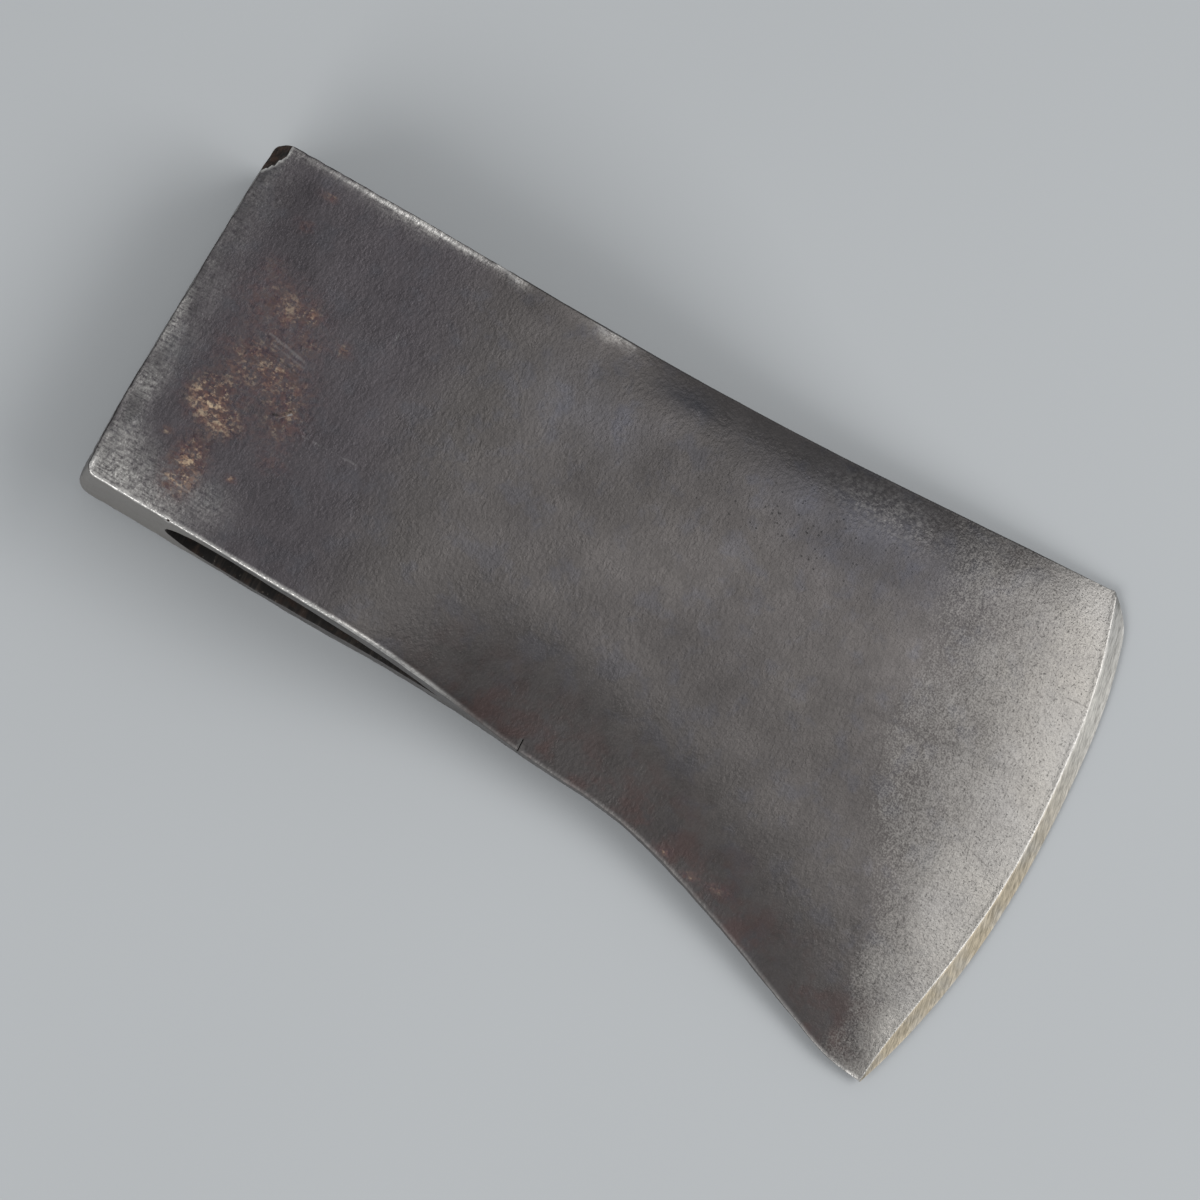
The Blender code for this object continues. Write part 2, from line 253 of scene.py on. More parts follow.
def half_thickness(x, y, shoulder_x):
    """From the middle plane to the cheek, on a column that ends at shoulder_x."""
    slope = (HALF_THICKNESS - BEVEL_HALF_THICKNESS) / (shoulder_x - KNEE_FROM_POLL)
    run = x - KNEE_FROM_POLL
    ease = np.clip(run + KNEE_EASE, 0, 2 * KNEE_EASE) ** 2 / (4 * KNEE_EASE)
    run = np.where(run < KNEE_EASE, ease, run)
    under_roll = np.maximum(1 - (y - under_edge(x)) / UNDER_ROLL_WIDTH, 0) ** 2
    top_roll = np.maximum(1 - (top_edge(x) - y) / TOP_ROLL_WIDTH, 0) ** 2
    under_loss = (1 - UNDER_EDGE_SHARE) * eased((x - UNDER_ROLL_START) / (UNDER_ROLL_END - UNDER_ROLL_START))
    top_loss = (1 - TOP_EDGE_SHARE) * eased((x - TOP_ROLL_START) / (TOP_ROLL_END - TOP_ROLL_START))
    return (HALF_THICKNESS - slope * run) * (1 - under_loss * under_roll - top_loss * top_roll)


def column_height(x, v, inset):
    """The y of column v, counted from 0 at the under edge to 1 at the top edge."""
    low = under_edge(x) + inset
    high = top_edge(x) - inset
    return low + (high - low) * v


def on_line(line, v, inset=0.0):
    """The x where column v meets a line x = line(y)."""
    x = line(0.0 * v)
    for _ in range(MEETING_STEPS):
        x = line(column_height(x, v, inset))
    return x


def poll_corners_rounded(x, y):
    """The points moved so that the two square corners of the poll become arcs."""
    backward = np.array((-math.cos(POLL_LEAN), math.sin(POLL_LEAN)))
    upward = np.array((math.sin(POLL_LEAN), math.cos(POLL_LEAN)))
    point = np.stack((x, y), axis=-1)
    for v, outward in ((0.0, -upward), (1.0, upward)):
        corner_x = on_line(poll_line, np.array(v))
        corner = np.array((corner_x, column_height(corner_x, v, 0)))
        centre = corner - POLL_CORNER_RADIUS * (backward + outward)
        offset = point - centre
        a = offset @ backward
        b = offset @ outward
        length = np.maximum(np.hypot(a, b), TINY)
        shrunk = centre + offset * (np.maximum(a, b) / length)[..., None]
        point = np.where(((a > 0) & (b > 0))[..., None], shrunk, point)
    return point[..., 0], point[..., 1]


def crowded(count):
    """Shares from 0 to 1 that lie closer together at both ends."""
    share = np.arange(count + 1) / count
    return share - EDGE_CROWDING * np.sin(2 * math.pi * share) / (2 * math.pi)


def cheek_points(u, v, inset):
    """Points of one cheek at share u of the way from poll to bevel, drawn in from the outline by inset."""
    back = on_line(poll_line, v, inset) + inset
    front = on_line(bevel_shoulder, v)
    x = back + (front - back) * u
    x, y = poll_corners_rounded(x, column_height(x, v, inset))
    return np.stack((x, y, half_thickness(x, y, front)), axis=-1)


def half_surface(us, vs):
    """One cheek with its arris, walls and bevel, open on the middle plane: its points and faces."""
    grid_u, grid_v = np.meshgrid(us, vs, indexing="ij")
    cheek = cheek_points(grid_u, grid_v, ARRIS_RADIUS)
    last_u, last_v = len(us) - 1, len(vs) - 1
    index = np.arange(cheek[..., 0].size).reshape(cheek.shape[:2])

    border = [(i, 0) for i in range(last_u, -1, -1)]
    border += [(0, j) for j in range(1, last_v + 1)]
    border += [(i, last_v) for i in range(1, last_u + 1)]
    rows, cols = np.array(border).T
    u, v = us[rows], vs[cols]
    outline = cheek_points(u, v, 0.0)
    radius = np.minimum(ARRIS_RADIUS, outline[:, 2] / 2)
    on_cheek = cheek_points(u, v, radius)
    cheek[rows, cols] = on_cheek

    points = [*cheek.reshape(-1, 3)]
    faces = []
    for i in range(last_u):
        for j in range(last_v):
            faces.append((index[i, j], index[i + 1, j], index[i + 1, j + 1], index[i, j + 1]))

    above = index[rows, cols]
    rings = [above]
    drops = []
    for k in range(1, ARC_STEPS + 1):
        angle = math.pi / 2 * k / ARC_STEPS
        turned = cheek_points(u, v, radius * (1 - math.sin(angle)))
        turned[:, 2] = on_cheek[:, 2] - radius * (1 - math.cos(angle))
        drops.append(turned)
    wall_top = drops[-1]
    for k in range(1, WALL_STEPS + 1):
        drops.append(wall_top * np.array((1, 1, 1 - k / WALL_STEPS)))
    for ring in drops:
        first = len(points)
        points.extend(ring)
        rings.append(np.arange(first, first + len(ring)))
    for upper, lower in zip(rings, rings[1:]):
        for k in range(len(border) - 1):
            faces.append((upper[k], upper[k + 1], lower[k + 1], lower[k]))

    edge_x = on_line(bit_edge, vs)
    edge = np.stack((edge_x, column_height(edge_x, vs, 0), 0 * vs), axis=-1)
    shoulder = cheek[last_u]
    bevel_faces = []
    previous = index[last_u]
    ends = ([previous[0]], [previous[-1]])
    for k in range(1, BEVEL_STEPS + 1):
        first = len(points)
        points.extend(shoulder + (edge - shoulder) * k / BEVEL_STEPS)
        current = np.arange(first, first + len(vs))
        for j in range(last_v):
            bevel_faces.append((previous[j], current[j], current[j + 1], previous[j + 1]))
        previous = current
        ends[0].append(current[0])
        ends[1].append(current[-1])
    under_end = [ring[0] for ring in rings] + ends[0][:0:-1]
    top_end = ends[1] + [ring[-1] for ring in rings[:0:-1]]
    faces += [tuple(under_end), tuple(top_end)]
    return np.array(points), faces, bevel_faces


def mesh_of(shape, name):
    mesh = bpy.data.meshes.new(name)
    shape.to_mesh(mesh)
    shape.free()
    return mesh


def new_mesh(name, points, faces, slots):
    """A mesh of these faces, with points in one place joined and all faces turned outwards."""
    mesh = bpy.data.meshes.new(name)
    mesh.from_pydata(points.tolist(), [], [tuple(int(k) for k in face) for face in faces])
    mesh.polygons.foreach_set("material_index", np.array(slots, np.int32))
    shape = bmesh.new()
    shape.from_mesh(mesh)
    bmesh.ops.remove_doubles(shape, verts=shape.verts, dist=JOIN_DISTANCE)
    bmesh.ops.recalc_face_normals(shape, faces=shape.faces)
    shape.to_mesh(mesh)
    shape.free()
    return mesh


def object_of(data):
    """A mesh, camera or light placed in the scene under its own name."""
    made = bpy.data.objects.new(data.name, data)
    bpy.context.scene.collection.objects.link(made)
    return made


def plain_head():
    """Both cheeks joined on the middle plane, before any unevenness."""
    points, faces, bevel_faces = half_surface(crowded(STATIONS), crowded(COLUMNS))
    count = len(points)
    every = faces + bevel_faces
    slots = [STEEL] * len(faces) + [GROUND] * len(bevel_faces)
    other = [tuple(k + count for k in reversed(face)) for face in every]
    both = np.concatenate((points, points * np.array((1, 1, -1))))
    return new_mesh("axe_head_surface", both, every + other, slots * 2)


def coordinates(mesh):
    points = np.zeros(len(mesh.vertices) * 3, np.float32)
    mesh.vertices.foreach_get("co", points)
    return points.reshape(-1, 3).astype(float)


def vertex_normals(mesh):
    normals = np.zeros(len(mesh.vertices) * 3, np.float32)
    mesh.vertex_normals.foreach_get("vector", normals)
    return normals.reshape(-1, 3).astype(float)


def field(points, size, octaves=2, stretch=(1, 1, 1), seed=0):
    """Smooth noise, about -1 to 1, with bumps of this size at the points."""
    scaled = points / (size * np.array(stretch)) + 17.3 * seed
    return np.array([noise.fractal(Vector(point), 1.0, 2.0, octaves) for point in scaled])


def near(distance, width):
    """1 on an edge, falling smoothly to 0 at this distance from it."""
    return eased(1 - distance / width)


def distances(points):
    """How far each point is from the poll's face, the top edge, the under edge and the cutting edge."""
    x, y = points[:, 0], points[:, 1]
    return x - poll_line(y), top_edge(x) - y, y - under_edge(x), bit_edge(y) - x


SPOT_FALL = 1.6


def spot(x, y, centre, radii, turn=0.0):
    """A soft oval patch, given in millimetres: 1 in the middle and nearly 0 past its radii."""
    dx, dy = x / MM - centre[0], y / MM - centre[1]
    cos, sin = math.cos(turn), math.sin(turn)
    along = (dx * cos + dy * sin) / radii[0]
    across = (dy * cos - dx * sin) / radii[1]
    return np.exp(-SPOT_FALL * (along**2 + across**2))


def patches(x, y, table):
    """All the spots of a table added up, each with its own strength."""
    return sum(strength * spot(x, y, centre, radii) for centre, radii, strength in table)


# Dents of the upper cheek: centre and radii in millimetres, turn, and depth in millimetres
DENTS = (
    ((29.3, -9.8), (1.1, 0.6), 0.9, 0.22),
    ((15, 24), (4, 2.5), 0.3, 0.10),
    ((6, -6), (2.2, 4), 0.0, 0.16),
    ((174.5, 1), (6, 5), 0.5, 0.10),
    ((172, -47), (1.6, 1.2), 0.7, 0.20),
    ((92, -18), (9, 5), 0.2, 0.12),
)


def inward_depth(points, normals):
    """How far the hammer, scale and wear leave each point below the plain form."""
    x, y = points[:, 0], points[:, 1]
    from_poll, from_top, from_under, _ = distances(points)
    facing = np.abs(normals[:, 2])
    depth = 0.00014 + 0.00010 * field(points, 0.024, 2) + 0.000045 * field(points, 0.008, 2, seed=1)
    depth += 0.000014 * field(points, 0.0022, 2, seed=2)

    battered = near(from_poll, 0.004)
    depth += battered * (0.00006 + 0.00040 * np.abs(field(points, 0.0070, 2, (1, 1, 1.5), seed=3)))
    depth += battered * 0.00012 * np.abs(field(points, 0.0022, 2, (1, 1, 1.5), seed=7))
    hammered = near(from_top, 0.0028) * near(x, 0.100)
    depth += hammered * 0.00022 * np.abs(field(points, 0.0036, 2, seed=4))
    depth += near(from_under, 0.0022) * 0.00012 * np.abs(field(points, 0.0050, 2, seed=5))
    # A furrow behind the burr that runs along the top edge of the cheeks
    furrow = eased(from_top / 0.0006) * near(from_top, 0.0020) * facing
    depth += 0.00010 * furrow * near(np.abs(x - 0.036), 0.028)
    upper = points[:, 2] > 0
    for centre, radii, turn, deep in DENTS:
        depth += deep * MM * spot(x, y, centre, radii, turn) * upper
    ground_depth = 0.00005 + 0.00002 * field(points, 0.0012, 2, (1, 6, 1), seed=6)
    before_shoulder = eased((bevel_shoulder(y) - x) / 0.0015)
    depth = ground_depth + (depth - ground_depth) * before_shoulder
    return np.maximum(depth, 0)


def roughened(mesh):
    points = coordinates(mesh)
    normals = vertex_normals(mesh)
    points -= normals * inward_depth(points, normals)[:, None]
    mesh.vertices.foreach_set("co", points.astype(np.float32).ravel())
    mesh.update()


def eye_ring(grow):
    """The eye's outline as (along, across), blunt towards the poll and drawn to a point towards the bit."""
    length = EYE_LENGTH + grow
    half = (EYE_WIDTH + grow) / 2
    angle = 2 * math.pi * np.arange(EYE_POINTS // 2 + 1) / EYE_POINTS
    along = length * (1 - np.cos(angle)) / 2
    blunt = np.sqrt(np.maximum(1 - (1 - np.minimum(along / EYE_ROUND_LENGTH, 1)) ** 2, 0))
    pointed = 1 - ((along - EYE_ROUND_LENGTH) / (length - EYE_ROUND_LENGTH)) ** 2
    across = half * np.where(along < EYE_ROUND_LENGTH, blunt, pointed)
    side = np.stack((along - grow / 2, across), axis=-1)
    return np.concatenate((side, side[-2:0:-1] * (1, -1)))


def eye_section(share, past, grow):
    """The eye's outline in space, at a share of the way up from under edge to top edge, and this far past."""
    along_under = np.array((math.cos(POLL_LEAN), -math.sin(POLL_LEAN)))
    up_poll = np.array((math.sin(POLL_LEAN), math.cos(POLL_LEAN)))
    ring = eye_ring(EYE_FLARE * share + grow)
    start = np.array((0, -HALF_HEIGHT)) + along_under * (EYE_FROM_POLL + ring[:, :1])
    low = np.zeros(len(ring))
    high = np.full(len(ring), POLL_HEIGHT)
    for _ in range(EYE_MEETING_STEPS):
        low_point = start + up_poll * low[:, None]
        high_point = start + up_poll * high[:, None]
        low += under_edge(low_point[:, 0]) - low_point[:, 1]
        high += top_edge(high_point[:, 0]) - high_point[:, 1]
    height = low + (high - low) * share + past
    plan = start + up_poll * height[:, None]
    return np.column_stack((plan, ring[:, 1]))


def eye_cutter():
    """The tapered space that the handle fills, with rough forged walls and slightly rounded mouths."""
    widest = 2 * EYE_RIM_RADIUS + EYE_CUT_PAST / 2
    sections = [eye_section(0, -EYE_CUT_PAST, widest)]
    shares = []
    for k in range(EYE_RIM_STEPS + 1):
        angle = math.pi / 2 * k / EYE_RIM_STEPS
        share = EYE_RIM_RADIUS * (1 - math.cos(angle)) / POLL_HEIGHT
        shares.append((share, 2 * EYE_RIM_RADIUS * (1 - math.sin(angle))))
    for share, grow in shares:
        sections.append(eye_section(share, 0, grow))
    for k in range(1, EYE_RINGS):
        sections.append(eye_section(k / EYE_RINGS, 0, 0))
    for share, grow in reversed(shares):
        sections.append(eye_section(1 - share, 0, grow))
    sections.append(eye_section(1, EYE_CUT_PAST, widest))

    count = EYE_POINTS
    points = np.concatenate(sections)
    outward = (points - (EYE_FROM_POLL + EYE_LENGTH / 2, 0, 0)) * (0.25, 0, 1)
    outward /= np.maximum(np.linalg.norm(outward, axis=1), TINY)[:, None]
    rough = field(points, 0.0030, 2, (1, 3, 1), seed=8) + 0.5 * field(points, 0.0011, 2, (1, 4, 1), seed=9)
    points += outward * (EYE_ROUGHNESS * rough)[:, None]
    faces = []
    for ring in range(len(sections) - 1):
        for k in range(count):
            after = (k + 1) % count
            a, b = ring * count, (ring + 1) * count
            faces.append((a + k, b + k, b + after, a + after))
    last = (len(sections) - 1) * count
    faces.append(tuple(range(count)))
    faces.append(tuple(range(last + count - 1, last - 1, -1)))
    return new_mesh("eye_cutter", points, faces, [EYE_WALLS] * len(faces))


def flakes():
    """Centre and radii of each flake."""
    top = float(top_edge(TOP_FLAKE_X))
    half = float(half_thickness(TOP_FLAKE_X, top, TOE_X))
    under = float(under_edge(UNDER_FLAKE_X))
    return (
        ((POLL_TOP_X - CHIP_BEHIND_CORNER, POLL_TOP_Y + CHIP_ABOVE_CORNER, HALF_THICKNESS + CHIP_ABOVE_CHEEK),
         CHIP_RADII),
        ((TOP_FLAKE_X, top + TOP_FLAKE_PAST_EDGE, half + TOP_FLAKE_ABOVE_CHEEK), TOP_FLAKE_RADII),
        ((UNDER_FLAKE_X, under - UNDER_FLAKE_PAST_EDGE, HALF_THICKNESS + UNDER_FLAKE_ABOVE_CHEEK),
         UNDER_FLAKE_RADII),
    )


FIRST_FLAKE_SEED = 20


def flake(shape, centre, radii, seed):
    """An uneven rounded lump added to the shape, to be cut away."""
    made = bmesh.ops.create_icosphere(shape, subdivisions=FLAKE_STEPS, radius=1)["verts"]
    points = np.array([vertex.co for vertex in made])
    swell = 1 + 0.07 * field(points, 0.55, 3, seed=seed) + 0.06 * field(points, 0.16, 2, seed=seed + 1)
    for vertex, point, grown in zip(made, points, swell):
        vertex.co = Vector(centre) + Vector(point * grown * np.array(radii))


def broken_away():
    """The flakes and the crack as one mesh of closed lumps."""
    shape = bmesh.new()
    for seed, (centre, radii) in enumerate(flakes(), FIRST_FLAKE_SEED):
        flake(shape, centre, radii, seed)
    centre = (CRACK_X, float(under_edge(CRACK_X)), CRACK_Z)
    crack = Matrix.LocRotScale(centre, Matrix.Rotation(CRACK_TURN, 3, "Z"), CRACK_SIZE)
    bmesh.ops.create_cube(shape, size=1, matrix=crack)
    mesh = mesh_of(shape, "broken_away")
    slots = np.full(len(mesh.polygons), BROKEN, np.int32)
    slots[-CRACK_FACES:] = EYE_WALLS
    mesh.polygons.foreach_set("material_index", slots)
    return mesh


def cut_from(mesh, cutters, materials):
    """The mesh with each cutter taken out of it. Faces keep the material slot that they had in the cutter."""
    body = object_of(mesh)
    for material in materials:
        mesh.materials.append(material)
    tools = []
    for cutter in cutters:
        for material in materials:
            cutter.materials.append(material)
        tool = object_of(cutter)
        tools.append(tool)
        cut = body.modifiers.new(cutter.name, "BOOLEAN")
        cut.operation = "DIFFERENCE"
        cut.solver = "EXACT"
        cut.object = tool
    bpy.context.view_layer.update()
    graph = bpy.context.evaluated_depsgraph_get()
    result = bpy.data.meshes.new_from_object(body.evaluated_get(graph))
    for used in (body, *tools):
        bpy.data.objects.remove(used)
    return result


def lie_angle():
    """How far the poll is raised when the tapered cheek lies flat."""
    foremost = on_line(bevel_shoulder, crowded(COLUMNS)).max()
    return math.atan((HALF_THICKNESS - BEVEL_HALF_THICKNESS) / (foremost - KNEE_FROM_POLL))


def lying_matrix(mesh):
    """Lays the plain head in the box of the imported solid."""
    turn = Matrix.Rotation(lie_angle(), 4, "Y")
    placed = coordinates(mesh) @ np.array(turn.to_3x3()).T
    low, high = (Vector(corner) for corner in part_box("axe_head"))
    middle = (low + high) / 2
    own_middle = (placed.min(0) + placed.max(0)) / 2
    shift = (middle.x - own_middle[0], middle.y - own_middle[1], low.z - placed[:, 2].min())
    return Matrix.Translation(shift) @ turn


# Rust on the upper cheek: centre and radii of each patch in millimetres, and its strength
RUST_PATCHES = (
    ((16, -13.8), (6.8, 5.8), 1.00),
    ((21.5, -17.2), (4.2, 3.6), 0.50),
    ((17.5, -26.8), (4.8, 7.8), 0.95),
    ((17.2, -31.2), (3.6, 3.4), 0.35),
    ((11.2, -22.8), (1.6, 1.4), 0.60),
    ((22.5, -4), (13, 6.8), 0.70),
    ((20.5, 8), (12, 8), 0.60),
    ((15.3, 14.5), (3.4, 2.6), 0.32),
    ((26.2, 8.9), (2.2, 2), 0.35),
    ((28.5, 3.5), (2.6, 2.2), 0.40),
    ((34.2, 5.8), (2.6, 2), 0.55),
    ((30, -12), (6.4, 7), 0.56),
    ((26.2, -25.7), (1.5, 1.2), 0.80),
    ((32, -20), (5.5, 3.5), 0.32),
    ((18.7, 30.8), (2.6, 1.8), 0.62),
    ((17.2, 23.8), (3, 2.2), 0.45),
    ((133, -50), (2, 1.2), 0.70),
    ((139.5, -52), (2.6, 1.4), 0.70),
    ((145.5, -52), (4, 1.6), 0.55),
)

# Broad lighter and darker patches of the upper cheek's oxide, in the same form as the next three tables
CLOUDS = (
    ((13.5, 25.5), (9, 8.5), -0.12),
    ((17, 6), (12, 12), 0.07),
    ((76, 17), (12, 6), 0.05),
    ((72, -8), (8, 10), 0.05),
    ((102, -6), (13, 6), 0.09),
    ((101, 15), (13, 9), -0.13),
    ((122, 6), (12, 7), 0.08),
    ((121.6, -15), (12, 9), -0.14),
    ((86, 4), (6, 6), -0.08),
    ((142, 1), (12, 8), 0.07),
    ((142, -20), (11, 8), -0.10),
    ((116, 23), (16, 6), -0.09),
    ((140, 19), (16, 6), -0.12),
    ((63.4, 31), (10, 3.5), -0.14),
    ((82.5, 27), (11, 5), -0.12),
    ((50, -27), (12, 7), -0.04),
    ((161, 27), (11, 6.2), -0.22),
    ((129, -48), (16, 6), -0.17),
    ((160, 5), (10, 9), 0.17),
    ((171, -22), (8, 6), -0.10),
    ((172, -34), (6, 3), 0.18),
    ((167, -43), (7, 4.5), 0.08),
)


# Where the worn bit is brighter or darker than its even fade
BIT_CHANGES = (
    ((177, -0.5), (4.5, 3.6), -0.16),
    ((180, 8), (12, 6.5), 0.15),
    ((186, 0), (6, 10), 0.12),
    ((185, -36), (6.5, 16), 0.38),
    ((179, -51), (4, 6), 0.38),
    ((184, -69), (3.5, 3.2), -0.45),
    ((172, 33), (9, 3.8), -0.34),
    ((188, -60), (3.4, 6), 0.30),
    ((181.5, -54), (4, 4), 0.14),
    ((173, -62), (5, 4), -0.30),
    ((190.5, -69), (3, 3), -0.20),
    ((189, 34.5), (4, 2.5), 0.12),
)

# Bright wear by the poll, beyond its even bands
POLL_WEAR = (
    ((2.6, -2.5), (2, 6.5), 0.95),
    ((4, -16.5), (2.5, 4), 0.45),
    ((23.5, -32), (7, 5), 0.22),
    ((10.5, -37.5), (5, 4), 0.25),
)

# Cooler tint of the oxide
COOL_PATCHES = (
    ((140, 24), (30, 11), 1.0),
    ((82, 18), (20, 10), 0.6),
)

# Bright burrs along the top edge: middle, half length and depth in millimetres, raggedness and strength
BURRS = (
    (42, 14, 3.0, 0.3, 0.75),
    (33, 12, 5.6, 1.0, 0.35),
    (79, 5.5, 3.6, 0.5, 0.75),
    (58, 2.2, 3.0, 0.0, 0.80),
)
BURR_Y = 34
BURR_HALF_HEIGHT = 20

# Tints and textures that lie in a single soft patch: centre and radii in millimetres
BLUE_PATCH = ((98.5, 29), (8.5, 3.5))
PALE_PATCH = ((144, 29), (16, 5.8))
PITTED_PATCH = ((130, 18), (33, 12))
TOE_PATCH = ((190, 30), (13, 14))
# A painted highlight: the crescent of light on the poll's lower corner.
PAINTED_CORNER_HIGHLIGHT = ((1.6, -34.8), (1, 1.8))


def bit_wear(points):
    """The light wear that fades back from the cutting edge, furthest at the middle and the toe."""
    x, y = points[:, 0], points[:, 1]
    _, from_top, from_under, from_bit = distances(points)
    reach = 0.016 + 0.031 * eased((y + 0.066) / 0.060)
    worn = 1.1 * np.clip(1 - from_bit / reach, 0, 1) ** 1.7
    worn *= 1 - 0.60 * near(from_under, 0.014) * eased((from_bit - 0.0045) / 0.008)
    worn *= 1 - 0.15 * near(from_top, 0.004)
    return worn + patches(x, y, BIT_CHANGES) * eased(x / 0.16 - 0.5)


def edge_wear(points, ragged):
    """The bright wear beside the poll, at its lower corner and along the top edge."""
    x, y = points[:, 0], points[:, 1]
    from_poll, from_top, from_under, _ = distances(points)
    poll_band = near(from_poll + ragged, 0.0095) * (0.26 + 0.26 * near(y + 0.038, 0.055))
    poll_band *= 0.75 + 0.55 * field(points, 0.0080, 2, (0.5, 1, 1), seed=12)
    lower_corner = near(from_under + 1.5 * ragged, 0.0155) * near(x + 2 * ragged, 0.033)
    burr = 0.45 * near(from_top + 0.3 * ragged, 0.0030) * near(x, 0.06)
    for middle, half_length, depth, raggedness, strength in BURRS:
        along = spot(x, y, (middle, BURR_Y), (half_length, BURR_HALF_HEIGHT))
        burr += strength * near(from_top + raggedness * ragged, depth * MM) * along
    return poll_band + lower_corner + burr + patches(x, y, POLL_WEAR)


def edge_shine_and_highlights(points, facing, cheek, arris):
    """The bare metal of the edges that are rubbed most, with painted highlights along the bevel's shoulder
    and on the poll's lower corner.
    """
    x, y = points[:, 0], points[:, 1]
    _, from_top, from_under, _ = distances(points)
    under = (arris + cheek) * near(from_under, 0.0012) * (1 - 0.85 * eased((x - 0.072) / 0.018))
    heel = 0.6 * arris * near(from_under, 0.0009) * eased((x - 0.160) / 0.015)
    top = 0.8 * cheek * near(np.abs(from_top - 0.0010), 0.0006) * near(np.abs(x - 0.034), 0.026)
    # A painted highlight: a thin bright line along the bevel's shoulder.
    shoulder = near(np.abs(bevel_shoulder(y) - x), 0.0004) * (facing > 0.7)
    shoulder = shoulder * (0.60 + 0.25 * field(points, 0.0070, 2, seed=17))
    # The spot at the poll's lower corner is a painted highlight.
    return under + heel + top + shoulder + cheek * spot(x, y, *PAINTED_CORNER_HIGHLIGHT)


def masks(points, normals, rim):
    """Where each kind of wear, stain, painted shade and painted highlight lies, from 0 to 1, at every point
    of the head.
    """
    x, y, z = points.T
    from_poll, from_top, from_under, _ = distances(points)
    ragged = 0.0011 * field(points, 0.0060, 3, seed=11)
    facing = np.abs(normals[:, 2])
    cheek = eased((facing - 0.80) / 0.15)
    arris = eased(2 * (1 - np.abs(facing - 0.62) / 0.48))
    wall = 1 - eased((facing - 0.15) / 0.35)
    upper = eased(z / 0.001)

    # Darker on the rounded arris by the poll and along the top edge.
    dark_arris = arris * near(from_poll, 0.0011) * (1 - near(from_under, 0.004))
    dark_arris += 0.8 * arris * near(from_top, 0.0009) * near(x, 0.100)
    # The band along the under margin is tinted browner; with the band by the top edge it sets the margin
    # mask, which darkens the colour as darker oxide and as painted shade where the rolled margins turn away
    # from the light.
    brown = near(from_under, 0.020) * eased((x - 0.062) / 0.030) * (1 - eased((x - 0.178) / 0.012))
    top_dark = near(from_top + ragged, 0.0060) * eased((x - 0.080) / 0.012) * (1 - eased((x - 0.118) / 0.016))
    clouds_and_shade = patches(x, y, CLOUDS) * upper
    # Painted shade: the colour is darkened within 4.5 mm of the under edge, from about 50 to 114 mm along,
    # where the rolled margin catches more light.
    clouds_and_shade -= 0.16 * near(from_under, 0.0045) * near(np.abs(x - 0.082), 0.032)
    underside = wall * eased((-normals[:, 1] - 0.3) / 0.4)
    struck = wall * eased((-normals[:, 0] - 0.3) / 0.4) * near(from_poll, 0.004)
    struck *= 0.30 + 0.30 * field(points, 0.0110, 3, seed=15) + 0.12 * field(points, 0.0016, 2, seed=16)
    return {
        "bit_wear": bit_wear(points) * cheek,
        "edge_wear": edge_wear(points, ragged) * cheek,
        "shine_and_highlight": edge_shine_and_highlights(points, facing, cheek, arris) + rim,
        "dark_arris": dark_arris,
        "rust": patches(x, y, RUST_PATCHES) * upper,
        "brown": brown,
        "blue": spot(x, y, *BLUE_PATCH),
        "blade": eased((x - 0.042) / 0.020),
        "cool": patches(x, y, COOL_PATCHES),
        "pale": spot(x, y, *PALE_PATCH) * upper,
        "pitted": spot(x, y, *PITTED_PATCH) * upper,
        "margin_oxide_and_shade": np.maximum(brown, 0.7 * top_dark) * (1 - wall),
        "wall": wall,
        "bare": underside * near(np.maximum(x - 0.018, 0), 0.022) + struck,
        "cloud": 0.5 + clouds_and_shade,
        "toe": spot(x, y, *TOE_PATCH),
        "gold": eased((0.012 - y) / 0.045),
        "upper": upper,
    }


def touched(mesh, slot):
    """Which points belong to faces of this slot."""
    found = np.zeros(len(mesh.vertices), bool)
    for face in mesh.polygons:
        if face.material_index == slot:
            found[list(face.vertices)] = True
    return found


def rim_of_breaks(mesh, points):
    """1 at the points where a broken face meets the forged surface, fading to 0 beside them."""
    edge = np.flatnonzero(touched(mesh, BROKEN) & touched(mesh, STEEL))
    tree = kdtree.KDTree(len(edge))
    for k in edge:
        tree.insert(points[k], int(k))
    tree.balance()
    by_break = points[:, 0] < FLAKES_END_X
    distance = np.array([tree.find(point)[2] if close else 1.0 for point, close in zip(points, by_break)])
    width = FLAKE_RIM_WIDTH * (1 + 0.5 * field(points, 0.0016, 2, seed=14))
    return near(distance, width)


def store_masks(mesh):
    """Keeps the masks in the mesh. The mouths of the eye count as walls, whichever way their points face."""
    points = coordinates(mesh)
    normals = vertex_normals(mesh)
    mouths = touched(mesh, STEEL) & touched(mesh, EYE_WALLS)
    normals[mouths, 2] = 0
    normals[mouths, 1] = np.sign(points[mouths, 1])
    for name, values in masks(points, normals, rim_of_breaks(mesh, points)).items():
        attribute = mesh.attributes.new(name, "FLOAT", "POINT")
        attribute.data.foreach_set("value", np.clip(values, 0, 1).astype(np.float32))


